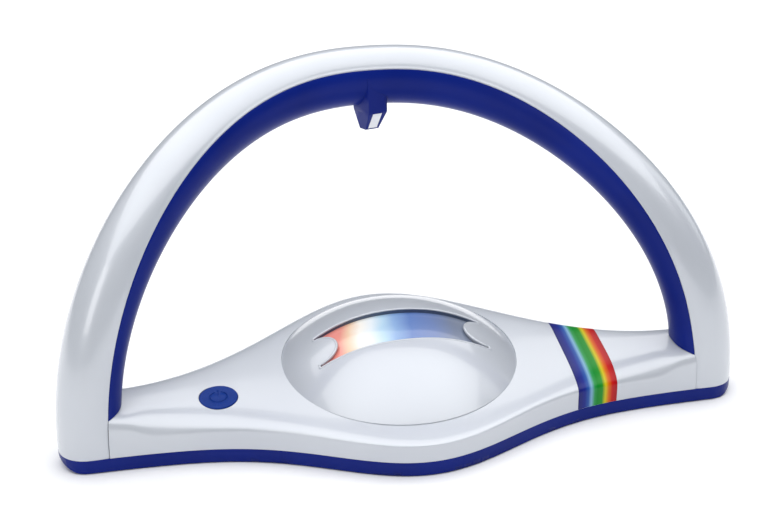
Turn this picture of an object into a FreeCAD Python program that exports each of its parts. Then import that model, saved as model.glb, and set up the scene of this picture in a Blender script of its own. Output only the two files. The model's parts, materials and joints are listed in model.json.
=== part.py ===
import FreeCAD, Part
import math
import os

V = FreeCAD.Vector

# Arch: a swept-back tube split into a white outer shell and a blue liner
WIDTH = 340.0                       # over both feet
TUBE_R = 15.0                       # round grip, 30 mm across
ARCH_HALF = WIDTH / 2 - TUBE_R      # tube centre line, half width at the feet
ARCH_RISE = 154.7                   # tube centre line at the top
ARCH_POWER = 2.27                   # superellipse power of the arch
SWEEP = 89.5                        # the top stands this far behind the feet
FOOT_Y = -26.4                      # feet's centre line
SEAM = 9.0                          # shell and liner part this far inside the centre line
FOOT_SQUARE = 2.6                   # how square the foot's section gets on its inner side
FOOT_BLEND = 22.0                   # height over which that fades to a circle
ARCH_WALL = 2.2
GAP = 0.15                          # assembly gap between mouldings

# Base: a boat-shaped box, its top tipped towards the user
BASE_Z = 0.6
SPLIT_Z = 7.3                       # top of the blue lower shell
FRONT_BULGE, FRONT_SPREAD = 36.7, 61.9
BACK_BULGE, BACK_SPREAD = 82.3, 82.0
DECK_Z = 24.85                      # top surface in the middle
DECK_RISE = 4.0                     # extra rise where the top meets the arch
DECK_TILT = 0.105                   # slope of the top towards the user
EDGE_Z = 14.2                       # height where the wall rolls into the top
FRONT_DROP = 4.5                    # how far the arms' front edge falls away
FRONT_EDGE_DROP = 2.5
ARM_FROM, COLLAR_FROM, COLLAR_BLEND = 100.0, 124.0, 14.0
WALL = 2.2

# Dome over the display
DOME_Y = -3.6
DOME_R = 59.6
DOME_RISE = 19.5
DOME_POWER = 2.5
DOME_TIP = 5.8                      # degrees towards the user
SKIRT = 4.0
SLOT_HALF = 43.0
SLOT_FRONT, SLOT_BACK = -17.5, 7.5
FRONT_BOW, BACK_BOW = 2.5, 7.5      # the slot's long edges curve towards the back
TONGUE_R, TONGUE_Y = 10.0, -5.0
WINDOW_T = 1.2

# Power button
BUTTON = (-93.2, -24.9)
BUTTON_R = 9.3
BUTTON_TRAVEL = 1.0

# Rainbow inlay on the right arm
INLAY_X, INLAY_W, INLAY_T, INLAY_TURN = 82.5, 21.5, 0.35, 4.0

# Battery bay and door
CELL_R, CELL_L, CELL_PITCH = 7.1, 49.3, 15.4
BAY_X, BAY_FRONT, BAY_BACK, BAY_TOP = 28.4, -35.0, 28.0, 18.4
BAY_WALL = 1.8
DOOR_T, DOOR_GAP, DOOR_TRAVEL = 2.0, 0.25, 12.0

# Boards
BOARD_T = 1.6
BOARD = (34.0, 94.0, -39.0, -9.0)   # main board: x and y limits
BOARD_Z = 8.0
BLOCKS = ((62, -22, 10, 10, 1.4), (79, -24, 7, 7, 1.2), (79, -14, 5, 3, 1.0), (51, -14, 8, 4, 2.5),
          (66, -12, 12, 4, 5.0), (78, -35, 12, 4, 5.0), (53, -33, 6, 3, 1.2), (89, -23, 5, 8, 3.0))
CANS = ((48, -23), (66, -33))       # electrolytic capacitors
CAN_R, CAN_H = 3.1, 7.0

# Screws and pads
CASE_SCREWS = [(s * x, y) for s in (-1, 1) for x, y in ((118.0, -33.0), (48.0, -50.0), (56.0, 34.0))]
ANCHOR_SCREWS = [(s * 153.0, FOOT_Y + y) for s in (-1, 1) for y in (-7.0, 7.0)]
PADS = [(s * x, y) for s in (-1, 1) for x, y in ((139.0, -26.4), (36.0, -58.0), (34.0, 45.0))]
PAD_R, PAD_T = 6.0, 1.2

# Coil
COIL_R = 2.4
COIL_OUT = 2.0                      # coil's place in the tube, outwards of the centre line
COIL_BACK = 16.0                    # its distance from the base's back edge
LEAD_R = 0.7
LEAD_OUT = -7.0
LEAD_Y = 56.5                       # where the lead rises out of the pod
POD_TURN = 15.0                     # degrees the pod faces to the user's right


def box(x0, x1, y0, y1, z0, z1):
    return Part.makeBox(x1 - x0, y1 - y0, z1 - z0, V(x0, y0, z0))


def rod(x, y, z0, z1, r):
    return Part.makeCylinder(r, z1 - z0, V(x, y, z0))


def curve(points):
    c = Part.BSplineCurve()
    c.interpolate(points)
    return c.toShape()


def line(a, b):
    return Part.LineSegment(a, b).toShape()


def joined(shapes):
    return shapes[0].fuse(shapes[1:]) if len(shapes) > 1 else shapes[0]


def spread(t, power, a0, a1):
    """Value between a0 and a1 with stations closing up towards both ends, t from -1 to 1."""
    bent = 1 - (1 - abs(t)) ** power
    return (a0 + a1) / 2 + math.copysign(bent, t) * (a1 - a0) / 2


# ---- arch ----

def arch_point(a):
    c, s = math.cos(a), math.sin(a)
    k = (abs(c) ** ARCH_POWER + abs(s) ** ARCH_POWER) ** (-1 / ARCH_POWER)
    h = s * k
    return V(ARCH_HALF * c * k, FOOT_Y + SWEEP * h ** 3, ARCH_RISE * h)


def arch_frame(a):
    """Centre, outward and forward directions of the tube at station a."""
    p = arch_point(a)
    along = arch_point(a + 1e-4) - arch_point(a - 1e-4)
    along.normalize()
    front = V(0, -1, 3 * SWEEP * p.z ** 2 / ARCH_RISE ** 3)
    front.normalize()
    return p, along.cross(front), front


def in_tube(a, u, v):
    p, out, front = arch_frame(a)
    return p + out * u + front * v


def side(u, r, z):
    """Half width of the tube's section at depth u inside the centre line."""
    n = 2 + FOOT_SQUARE * math.exp(-(z / FOOT_BLEND) ** 2)
    return (r ** n - abs(u) ** n) ** (1 / n)


def stations(a0, count):
    return [spread(-1 + 2 * i / (count - 1), 1.4, a0, math.pi - a0) for i in range(count)]


def outer_section(a):
    z = arch_point(a).z
    loops = []
    for r in (TUBE_R, TUBE_R - ARCH_WALL):
        flank = [(-SEAM * (1 - k / 4), side(SEAM * (1 - k / 4), r, z)) for k in range(4)]
        back = [(r * math.sin(t), r * math.cos(t)) for t in [math.pi * k / 12 for k in range(13)]]
        loops.append(flank + back + [(u, -v) for u, v in reversed(flank)])
    rings = [[in_tube(a, u, v) for u, v in loop] for loop in loops]
    rings[1].reverse()
    return Part.Wire([curve(rings[0]), line(rings[0][-1], rings[1][0]),
                      curve(rings[1]), line(rings[1][-1], rings[0][0])])


def liner_section(a):
    z = arch_point(a).z
    n = 2 + FOOT_SQUARE * math.exp(-(z / FOOT_BLEND) ** 2)
    rings = []
    for r in (TUBE_R, TUBE_R - ARCH_WALL):
        top = math.acos(((SEAM + GAP) / r) ** (n / 2))
        loop = []
        for k in range(13):
            t = top * (1 - k / 6)
            v = math.copysign(r * abs(math.sin(t)) ** (2 / n), t) if k != 6 else 0.0
            loop.append(in_tube(a, -r * math.cos(t) ** (2 / n), v))
        rings.append(loop)
    rings[1].reverse()
    return Part.Wire([curve(rings[0]), line(rings[0][-1], rings[1][0]),
                      curve(rings[1]), line(rings[1][-1], rings[0][0])])


def arch_outer_shell():
    shell = Part.makeLoft([outer_section(a) for a in stations(0.02, 35)], True, False)
    return shell.cut(box(-200, 200, -100, 100, -20, SPLIT_Z))


def arch_inner_liner(deck):
    liner = Part.makeLoft([liner_section(a) for a in stations(0.09, 33)], True, False)
    return liner.cut(joined([deck, rod(0, LEAD_Y, 136, 147, 1.6)]))


def foot_block(reach, seam):
    """Filled tube sections at both feet, for cutting the base's ends."""
    ends = []
    for flip in (False, True):
        wires = []
        for a in (-0.03, 0.04, 0.11, 0.18, 0.25, 0.32):
            b = math.pi - a if flip else a
            corners = [(-seam, -reach), (reach, -reach), (reach, reach), (-seam, reach)]
            pts = [in_tube(b, u, v) for u, v in corners]
            wires.append(Part.makePolygon(pts + [pts[0]]))
        ends.append(Part.makeLoft(wires, True, False))
    return ends


# ---- base ----

def bulge(x, size, width):
    return size * math.exp(-(x / width) ** 2) * (1 - (min(abs(x), ARCH_HALF) / ARCH_HALF) ** 12) ** 2


def front_y(x):
    return FOOT_Y - TUBE_R - bulge(x, FRONT_BULGE, FRONT_SPREAD)


def back_y(x):
    return FOOT_Y + TUBE_R + bulge(x, BACK_BULGE, BACK_SPREAD)


def outline(z, inset):
    xs = [ARCH_HALF * i / 16 for i in range(-16, 17)]
    r = TUBE_R - inset
    front = curve([V(x, front_y(x) + inset, z) for x in xs])
    back = curve([V(x, back_y(x) - inset, z) for x in reversed(xs)])
    ends = [Part.Arc(V(s * ARCH_HALF, FOOT_Y - s * r, z), V(s * (ARCH_HALF + r), FOOT_Y, z),
                     V(s * ARCH_HALF, FOOT_Y + s * r, z)).toShape() for s in (1, -1)]
    return Part.Wire([front, ends[0], back, ends[1]])


def slab(z0, z1, inset):
    return Part.Face(outline(z0, inset)).extrude(V(0, 0, z1 - z0))


def deck_shape(x):
    """Power, edge height and middle height of the top surface at station x."""
    w = math.exp(-(x / 110.0) ** 4)
    return 4.6 + 1.2 * w, EDGE_Z + 0.8 * w, DECK_Z + DECK_RISE * (abs(x) / 146.0) ** 6


def arm_share(x):
    """1 along the arms, fading out under the dome and at the collars round the arch's feet."""
    t = min(max((abs(x) - COLLAR_FROM) / COLLAR_BLEND, 0.0), 1.0)
    return (1 - math.exp(-(x / ARM_FROM) ** 4)) * (1 - t * t * (3 - 2 * t))


def deck_height(x, u, half, lift, inset):
    power, edge, top = deck_shape(x)
    fall = 0.0
    if u < 0:
        edge -= FRONT_EDGE_DROP * arm_share(x)
        fall = FRONT_DROP * arm_share(x) * abs(u) ** 3
    return edge + lift * (top - edge - inset + DECK_TILT * half * u - fall)


def deck_z(x, y):
    power = deck_shape(x)[0]
    half = (back_y(x) - front_y(x)) / 2
    u = (y - (front_y(x) + back_y(x)) / 2) / half
    return deck_height(x, u, half, (1 - abs(u) ** power) ** (1 / power), 0.0)


def deck_section(x, inset, z0):
    power = deck_shape(x)[0]
    y0, y1 = front_y(x) + inset, back_y(x) - inset
    half, mid = (y1 - y0) / 2, (y0 + y1) / 2
    pts = []
    for i in range(29):
        t = math.pi * i / 28
        u = -math.copysign(abs(math.cos(t)) ** (2 / power), math.cos(t)) if i != 14 else 0.0
        lift = abs(math.sin(t)) ** (2 / power) if 0 < i < 28 else 0.0
        pts.append(V(x, mid + u * half, deck_height(x, u, half, lift, inset)))
    low = [V(x, y1, z0), V(x, y0, z0)]
    return Part.Wire([line(low[0], low[1]), line(low[1], pts[0]),
                      curve(pts), line(pts[-1], low[0])])


def deck_solid(inset, z0, reach=152.0, count=49):
    xs = [reach * (-1 + 2 * i / (count - 1)) for i in range(count)]
    return Part.makeLoft([deck_section(x, inset, z0) for x in xs], True, False)


def tipped(shape, x, y, z, degrees):
    """Places a shape drawn about its own origin on the tipped top surface."""
    shape = shape.copy()
    shape.rotate(V(0, 0, 0), V(1, 0, 0), degrees)
    shape.translate(V(x, y, z))
    return shape


def on_dome(shape):
    return tipped(shape, 0, DOME_Y, DECK_Z, DOME_TIP)


def button_tip():
    x, y = BUTTON
    return math.degrees(math.atan((deck_z(x, y + 1) - deck_z(x, y - 1)) / 2))


def on_button(shape):
    return tipped(shape, BUTTON[0], BUTTON[1], deck_z(*BUTTON), button_tip())


def inlay_slab():
    bar = box(INLAY_X, INLAY_X + INLAY_W, -120, 120, SPLIT_Z, 60)
    bar.rotate(V(INLAY_X, -20, 0), V(0, 0, 1), -INLAY_TURN)
    return bar


def dome_seat():
    """Collar round the dome's hole with a ledge under its skirt."""
    collar = rod(0, 0, -SKIRT - 2.0, 8, DOME_R + 2.0).cut(rod(0, 0, -12, 12, DOME_R + GAP))
    ledge = rod(0, 0, -SKIRT - 2.0, -SKIRT - GAP, DOME_R + 1).cut(rod(0, 0, -12, 0, DOME_R - 4))
    return on_dome(collar.fuse(ledge))


def top_shell(outer, skin):
    room = deck_solid(WALL, SPLIT_Z - 1)
    bosses = [rod(x, y, SPLIT_Z, 24, 3.6) for x, y in CASE_SCREWS]
    shell = outer.cut(room).fuse([b.common(outer) for b in bosses])
    well = on_dome(rod(0, 0, -12, 30, DOME_R + GAP))
    holes = [rod(x, y, SPLIT_Z - 1, 17, 1.5) for x, y in CASE_SCREWS]
    button = on_button(rod(0, 0, -6, 6, BUTTON_R + 0.2))
    shell = shell.cut(joined(holes + foot_block(40, SEAM + GAP)))
    shell = shell.cut(well).cut(button)
    return shell.fuse(dome_seat().common(outer)).cut(skin)


def bottom_shell():
    tray = slab(BASE_Z, SPLIT_Z, 0)
    room = slab(BASE_Z + WALL, SPLIT_Z + 1, WALL).common(box(-148, 148, -100, 100, 0, 20))
    tray = tray.cut(room)
    bay = box(-BAY_X - BAY_WALL, BAY_X + BAY_WALL, BAY_FRONT - BAY_WALL, BAY_BACK + BAY_WALL,
              BASE_Z, BAY_TOP + BAY_WALL)
    thumb = box(-BAY_X - 3, BAY_X + 3, BAY_FRONT - DOOR_TRAVEL - 4, BAY_FRONT, BASE_Z, 4.9)
    rails = box(-BAY_X - 4, BAY_X + 4, BAY_FRONT - 6, BAY_BACK + 3, BASE_Z, 4.9)
    posts = [rod(x, y, BASE_Z, SPLIT_Z, 3.6) for x, y in CASE_SCREWS]
    studs = [rod(x, y, BASE_Z, BOARD_Z, 2.8) for x, y in board_holes()]
    above = box(-WIDTH / 2, 0, -80, 80, BASE_Z, 30)
    studs += [on_button(rod(x, 0, -28, -15.1, 2.2)).common(above) for x in (-8, 8)]
    tray = tray.fuse([bay, thumb, rails] + posts + studs)
    hollow = box(-BAY_X, BAY_X, BAY_FRONT, BAY_BACK, BASE_Z - 1, BAY_TOP)
    door_way = box(-BAY_X, BAY_X, BAY_FRONT - DOOR_TRAVEL - 1, BAY_BACK, BASE_Z - 1, BASE_Z + DOOR_T + 0.2)
    grooves = box(-BAY_X - 1.6, BAY_X + 1.6, BAY_FRONT - DOOR_TRAVEL - 1, BAY_BACK,
                  BASE_Z + 0.7, BASE_Z + DOOR_T + 0.2)
    cuts = [hollow, door_way, grooves]
    for x, y in CASE_SCREWS:
        cuts += [rod(x, y, BASE_Z - 1, BASE_Z + 1.8, 3.2), rod(x, y, 0, SPLIT_Z + 1, 1.7)]
    cuts += [rod(x, y, 4.0, BOARD_Z + 1, 1.0) for x, y in board_holes()]
    cuts += [rod(x, y, BASE_Z - 1, PAD_T, PAD_R + GAP) for x, y in PADS]
    for s in (-1, 1):
        rise = Part.Arc(V(s * 156, -60, BASE_Z), V(s * 165.5, -60, 2.3), V(s * 170.6, -60, 6.9)).toShape()
        corner = [V(s * 170.6, -60, 6.9), V(s * 176, -60, 6.9), V(s * 176, -60, -2),
                  V(s * 156, -60, -2), V(s * 156, -60, BASE_Z)]
        edge = Part.Wire([rise] + [line(a, b) for a, b in zip(corner, corner[1:])])
        cuts.append(Part.Face(edge).extrude(V(0, 70, 0)))
    for x, y in ANCHOR_SCREWS:
        cuts += [rod(x, y, 0, SPLIT_Z + 1, 1.7), rod(x, y, 0, 2.6, 3.1)]
    return tray.cut(joined(cuts))


def arch_anchors():
    blocks = []
    for s in (-1, 1):
        core = rod(s * ARCH_HALF, FOOT_Y, SPLIT_Z, 20, TUBE_R - ARCH_WALL - 1.0)
        core = core.common(box(min(s * 148, s * 175), max(s * 148, s * 175), -60, 20, 0, 30))
        core = core.cut(box(s * 155 - 8, s * 155 + 8, FOOT_Y - 4.2, FOOT_Y + 4.2, 0, 40))
        core = core.fuse(box(s * 163 - 2.6, s * 163 + 2.6, FOOT_Y - 4.6, FOOT_Y + 4.6, SPLIT_Z, 20))
        blocks.append(core.cut(joined([rod(x, y, 0, 16, 1.5) for x, y in ANCHOR_SCREWS])))
    return Part.Compound(blocks)


# ---- dome and display ----

def dome_z(r, drop=0.0):
    return DOME_RISE * (1 - (r / DOME_R) ** DOME_POWER) - drop


def dome_cap(drop, r, floor):
    """Solid under the dome's surface lowered by drop, down to a flat floor."""
    pts = [V(r * i / 16, 0, dome_z(r * i / 16, drop)) for i in range(17)]
    edge = [pts[-1], V(r, 0, floor), V(0, 0, floor), pts[0]]
    wire = Part.Wire([curve(pts)] + [line(a, b) for a, b in zip(edge, edge[1:])])
    return Part.Face(wire).revolve(V(0, 0, 0), V(0, 0, 1), 360)


def slot_prism(grow, z0, z1):
    x, front, back = SLOT_HALF + grow, SLOT_FRONT - grow, SLOT_BACK + grow
    rear = Part.Arc(V(-x, back, z0), V(0, back + BACK_BOW, z0), V(x, back, z0)).toShape()
    near = Part.Arc(V(x, front, z0), V(0, front + FRONT_BOW, z0), V(-x, front, z0)).toShape()
    right = line(V(x, back, z0), V(x, front, z0))
    left = line(V(-x, front, z0), V(-x, back, z0))
    return Part.Face(Part.Wire([rear, right, near, left])).extrude(V(0, 0, z1 - z0))


def slot_cut():
    tongues = [rod(s * SLOT_HALF, TONGUE_Y, -1, 31, TONGUE_R) for s in (-1, 1)]
    return slot_prism(0, 0, 30).cut(joined(tongues))


def dome_cover():
    cap = dome_cap(0, DOME_R, -SKIRT)
    room = dome_cap(WALL, DOME_R - WALL, -SKIRT - 1)
    return on_dome(cap.cut(room).cut(slot_cut()))


def display_window():
    layer = dome_cap(WALL + 0.05, 56, -1).cut(dome_cap(WALL + 0.05 + WINDOW_T, 56, -2))
    return on_dome(layer.common(slot_prism(2.5, 0, 30)))


def display_frame():
    top = dome_cap(WALL + 0.1 + WINDOW_T, 56, 0).common(slot_prism(2.5, 0.4, 30))
    frame = top.cut(slot_prism(0.3, 0, 30).cut(box(-50, 50, -40, 40, -1, 0.4)))
    lip = slot_cut()
    cut_back = lip.copy()
    cut_back.translate(V(0, -0.8, 0))
    lip = lip.cut(cut_back).common(box(-50, 50, 6, 40, 0, 30))
    lip = lip.common(dome_cap(0.4, 56, 0)).cut(dome_cap(WALL + 0.05, 56, -1))
    return on_dome(frame), on_dome(lip)


def display_panel():
    return on_dome(box(-38, 38, -14, 8, 4.6, 6.6))


def display_board():
    return on_dome(box(-40, 40, -14.6, 8.6, 2.8, 4.4))


# ---- power button ----

def power_button():
    cap = rod(0, 0, -4.0, 0.25, BUTTON_R)
    cap = cap.makeFillet(0.5, [e for e in cap.Edges if e.isClosed() and e.BoundBox.ZMin > 0])
    flange = rod(0, 0, -4.0, -3.3, BUTTON_R + 0.8)
    stem = rod(0, 0, -9.0, -4.0, 2.2)
    ring = rod(0, 0, -0.2, 1, 4.6).cut(rod(0, 0, -0.2, 1, 3.7)).cut(box(-1.5, 1.5, 0, 6, -1, 2))
    mark = joined([ring, box(-0.45, 0.45, 0.8, 5.6, -0.2, 1)])
    return on_button(joined([cap, flange, stem]).cut(mark))


def coil_spring(r, wire, z0, z1, turns):
    """Spring wire as a loft through round sections, sixteen to a turn."""
    rings = []
    count = 16 * turns
    rise = (z1 - z0) / (2 * math.pi * turns)
    for i in range(count + 1):
        t = 2 * math.pi * turns * i / count
        middle = V(r * math.cos(t), r * math.sin(t), z0 + rise * t)
        along = V(-r * math.sin(t), r * math.cos(t), rise)
        rings.append(Part.Wire(Part.makeCircle(wire, middle, along)))
    return Part.makeLoft(rings, True, False)


def button_spring():
    return on_button(coil_spring(5.8, 0.35, -13.1, -4.4, 4))


def button_switch():
    return on_button(joined([box(-3, 3, -3, 3, -13.5, -10.6), rod(0, 0, -10.6, -10.05, 1.7)]))


def button_board():
    return on_button(box(-12, 12, -9, 9, -15.1, -13.5))


# ---- electronics ----

def board_holes():
    x0, x1, y0, y1 = BOARD
    return [(x, y) for x in (x0 + 4, x1 - 4) for y in (y0 + 4, y1 - 4)]


def main_board():
    x0, x1, y0, y1 = BOARD
    plate = box(x0, x1, y0, y1, BOARD_Z, BOARD_Z + BOARD_T)
    return plate.cut(joined([rod(x, y, 0, 20, 1.2) for x, y in board_holes()]))


def board_chips():
    """Chips, connectors and capacitors, each given as centre, size and height."""
    z = BOARD_Z + BOARD_T
    chips = [box(x - a / 2, x + a / 2, y - b / 2, y + b / 2, z, z + h) for x, y, a, b, h in BLOCKS]
    chips += [rod(x, y, z, z + CAN_H, CAN_R) for x, y in CANS]
    return Part.Compound(chips)


def buzzer():
    body = rod(-58, -14, BASE_Z + WALL, BASE_Z + WALL + 7, 8)
    return body.cut(rod(-58, -14, 8, 12, 1.2))


def coil_path():
    """Closed run of the winding: round the arch, then along the back of the base."""
    pts = [in_tube(a, COIL_OUT, 0) for a in stations(0.16, 31)]
    foot = [(154.0, 0.3, 14.5), (149.5, 0.8, 10.6), (141.0, 3.0, 9.6)]
    run = [(x, back_y(x) - COIL_BACK - FOOT_Y, 9.6) for x in (126, 110, 94, 78, 62, 46, 30, 15)]
    half = [V(-x, FOOT_Y + y, z) for x, y, z in foot + run]
    rest = [V(-p.x, p.y, p.z) for p in reversed(half)]
    return pts + half + [V(0, back_y(0) - COIL_BACK, 9.6)] + rest


def antenna_winding():
    c = Part.BSplineCurve()
    c.interpolate(Points=coil_path(), PeriodicFlag=True)
    span, count = c.LastParameter - c.FirstParameter, 72
    runs = []
    for first, last in ((0, count // 2), (count // 2, count)):
        rings = []
        for i in range(first, last + 1):
            t = c.FirstParameter + span * i / count
            rings.append(Part.Wire(Part.makeCircle(COIL_R, c.value(t), c.tangent(t)[0])))
        runs.append(Part.makeLoft(rings, True, False))
    return joined(runs)


def clip_angles():
    return [math.pi * k / 12 for k in (2, 4, 5, 7, 8, 10)]


def winding_clips():
    clips = []
    for a in clip_angles():
        p, out, front = arch_frame(a)
        along = front.cross(out)
        start = p - along * 1.5
        disc = Part.makeCylinder(TUBE_R - ARCH_WALL - 0.5, 3, start, along)
        disc = disc.cut(Part.makeCylinder(COIL_R + 0.3, 9, start + out * COIL_OUT - along * 3, along))
        disc = disc.cut(Part.makeCylinder(LEAD_R + 0.5, 9, start + out * LEAD_OUT - along * 3, along))
        clips.append(disc)
    return Part.Compound(clips)


def pod_lead():
    """Lead from the pod, round the arch's right half and down to the main board."""
    first = [V(0, LEAD_Y, 138.4), V(0, LEAD_Y, 145), in_tube(math.pi / 2 - 0.05, -6, -3)]
    along = [in_tube(math.pi / 2 - 0.13 * k, LEAD_OUT, 0) for k in range(1, 11)]
    last = [V(147, FOOT_Y - 1, 22), V(140, FOOT_Y - 1, 15), V(118, -25, 13), V(104, -30, 12.8),
            V(94, -34, 12.4), V(84.4, -35, 12.2)]
    c = Part.BSplineCurve()
    c.interpolate(first + along + last)
    ring = Part.Wire(Part.makeCircle(LEAD_R, c.value(c.FirstParameter), c.tangent(c.FirstParameter)[0]))
    return Part.Wire(c.toShape()).makePipeShell([ring], True, False)


# ---- lamp pod ----

def pod_solid(inset, top):
    """Faceted pod: wide at the back, its lower front face leaning back."""
    levels = ((top, 5.4, 8.2, 49.0, 64.0), (138.0, 5.2, 7.2, 49.0, 63.0), (127.5, 3.7, 4.6, 56.5, 61.5))
    rows = []
    for i, (z, f, b, y0, y1) in enumerate(levels):
        z += inset if i == 2 else 0
        f, b, y0, y1 = f - inset, b - inset, y0 + inset, y1 - inset
        rows.append([V(-f, y0, z), V(f, y0, z), V(b, y1, z), V(-b, y1, z)])
    wires = [Part.makePolygon(row + [row[0]]) for row in rows]
    return Part.makeLoft(wires, True, True)


def arch_bar(r):
    """Filled tube over the top of the arch."""
    rings = []
    for k in range(-3, 4):
        a = math.pi / 2 + 0.08 * k
        p, out, front = arch_frame(a)
        rings.append(Part.Wire(Part.makeCircle(r, p, front.cross(out))))
    return Part.makeLoft(rings, True, False)


def lens_prism(half, margin, depth, lift):
    """Plate on the pod's leaning front face."""
    low, high = V(0, 56.5, 127.5), V(0, 49.0, 138.0)
    up = high - low
    length = up.Length
    up.normalize()
    normal = V(0, -up.z, up.y)
    corner = low + up * margin + normal * lift - V(half, 0, 0)
    pts = [corner, corner + V(2 * half, 0, 0), corner + V(2 * half, 0, 0) + up * (length - 2 * margin),
           corner + up * (length - 2 * margin)]
    return Part.Face(Part.makePolygon(pts + [pts[0]])).extrude(normal * -depth)


def pod_turned(shape):
    shape.rotate(V(0, LEAD_Y, 0), V(0, 0, 1), POD_TURN)
    return shape


def pod_housing():
    shell = pod_solid(0, 156.0).cut(pod_solid(1.3, 157.0)).cut(lens_prism(2.6, 0.8, 3.0, 0.5))
    return pod_turned(shell).cut(arch_bar(TUBE_R + 0.02))


def pod_lens():
    return pod_turned(lens_prism(2.5, 0.9, 1.0, 0.0))


def pod_board():
    board = box(-3.0, 3.0, 54.5, 59.0, 137.0, 138.2)
    lamp = rod(0, 57.0, 134.6, 137.0, 1.5)
    return pod_turned(board.fuse(lamp))


# ---- battery ----

def cell_rows():
    middle = (BAY_FRONT + BAY_BACK) / 2
    return [(1 - 2 * (i % 2), middle + (i - 1.5) * CELL_PITCH) for i in range(4)]


def battery_cells():
    cells = []
    z = BASE_Z + DOOR_T + 0.5 + CELL_R
    for s, y in cell_rows():
        tip = s * (BAY_X - 0.45)
        can = Part.makeCylinder(CELL_R, CELL_L, V(tip - s * 1.2, y, z), V(-s, 0, 0))
        nub = Part.makeCylinder(2.6, 1.2, V(tip, y, z), V(-s, 0, 0))
        cells.append(can.fuse(nub))
    return Part.Compound(cells)


def battery_contacts():
    z = BASE_Z + DOOR_T + 0.5 + CELL_R
    parts = []
    for s, y in cell_rows():
        for e in (-1, 1):
            x = e * (BAY_X - 0.2)
            parts.append(box(x - 0.2, x + 0.2, y - 5, y + 5, z - 5, z + 5))
        spring = coil_spring(3.2, 0.4, 0.4, 4.6, 3)
        spring.rotate(V(0, 0, 0), V(0, 1, 0), 90 * s)
        spring.translate(V(-s * (BAY_X - 0.4), y, z))
        parts.append(spring)
    return Part.Compound(parts)


def battery_door():
    z1 = BASE_Z + DOOR_T
    plate = box(-BAY_X + DOOR_GAP, BAY_X - DOOR_GAP, BAY_FRONT, BAY_BACK - DOOR_GAP, BASE_Z, z1)
    tongue = box(-BAY_X - 1.3, BAY_X + 1.3, BAY_FRONT + 4, BAY_BACK - 6, BASE_Z + 0.9, z1)
    door = plate.fuse(tongue)
    grips = []
    for k in range(4):
        y = BAY_FRONT + 4 + 3 * k
        grips.append(box(-9, 9, y, y + 1.2, BASE_Z - 1, BASE_Z + 0.6))
    return door.cut(joined(grips))


# ---- fasteners and pads ----

def screw(x, y, head_z, head_r, head_h, shank_r, top_z):
    """Screw driven upwards from below, with a cross recess."""
    head = rod(x, y, head_z - head_h, head_z, head_r)
    shank = rod(x, y, head_z, top_z, shank_r)
    z = head_z - head_h
    cross = [box(x - 1.5, x + 1.5, y - 0.3, y + 0.3, z - 1, z + 0.8),
             box(x - 0.3, x + 0.3, y - 1.5, y + 1.5, z - 1, z + 0.8)]
    return head.fuse(shank).cut(joined(cross))


def case_screws():
    return Part.Compound([screw(x, y, BASE_Z + 1.8, 2.8, 1.4, 1.4, 14) for x, y in CASE_SCREWS])


def anchor_screws():
    return Part.Compound([screw(x, y, 2.6, 2.7, 1.3, 1.4, 14) for x, y in ANCHOR_SCREWS])


def board_screws():
    z = BOARD_Z + BOARD_T
    screws = []
    for x, y in board_holes():
        head = rod(x, y, z, z + 1.2, 2.1).fuse(rod(x, y, 4.4, z, 0.9))
        screws.append(head.cut(box(x - 1.3, x + 1.3, y - 0.25, y + 0.25, z + 0.6, z + 3)))
    return Part.Compound(screws)


def foot_pads():
    return Part.Compound([rod(x, y, 0, PAD_T, PAD_R) for x, y in PADS])


def save(name, shape):
    shape.exportStep("parts/%s.step" % name)
    print(name, "valid" if shape.isValid() else "NOT VALID", len(shape.Solids),
          "%.0f mm3" % shape.Volume)


os.makedirs("parts", exist_ok=True)
outer = deck_solid(0, SPLIT_Z)
skin = outer.cut(deck_solid(INLAY_T, SPLIT_Z - 1)).common(inlay_slab())
lifted = deck_solid(-0.35, SPLIT_Z, 158.0, 51)
frame, lip = display_frame()
save("top_shell", top_shell(outer, skin))
save("rainbow_band", skin)
save("arch_outer_shell", arch_outer_shell())
save("arch_inner_liner", arch_inner_liner(lifted))
save("bottom_shell", bottom_shell())
save("dome_cover", dome_cover())
save("display_window", display_window())
save("display_frame", frame)
save("slot_lip", lip)
save("display_panel", display_panel())
save("display_board", display_board())
save("power_button", power_button())
save("button_spring", button_spring())
save("button_switch", button_switch())
save("button_board", button_board())
save("main_board", main_board())
save("board_chips", board_chips())
save("buzzer", buzzer())
save("antenna_winding", antenna_winding())
save("winding_clips", winding_clips())
save("pod_lead", pod_lead())
save("pod_housing", pod_housing())
save("pod_lens", pod_lens())
save("pod_board", pod_board())
save("battery_cells", battery_cells())
save("battery_contacts", battery_contacts())
save("battery_door", battery_door())
save("case_screws", case_screws())
save("anchor_screws", anchor_screws())
save("board_screws", board_screws())
save("arch_anchors", arch_anchors())
save("foot_pads", foot_pads())
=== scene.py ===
import json
import math
import bmesh
import bpy
from mathutils import Matrix, Vector


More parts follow.
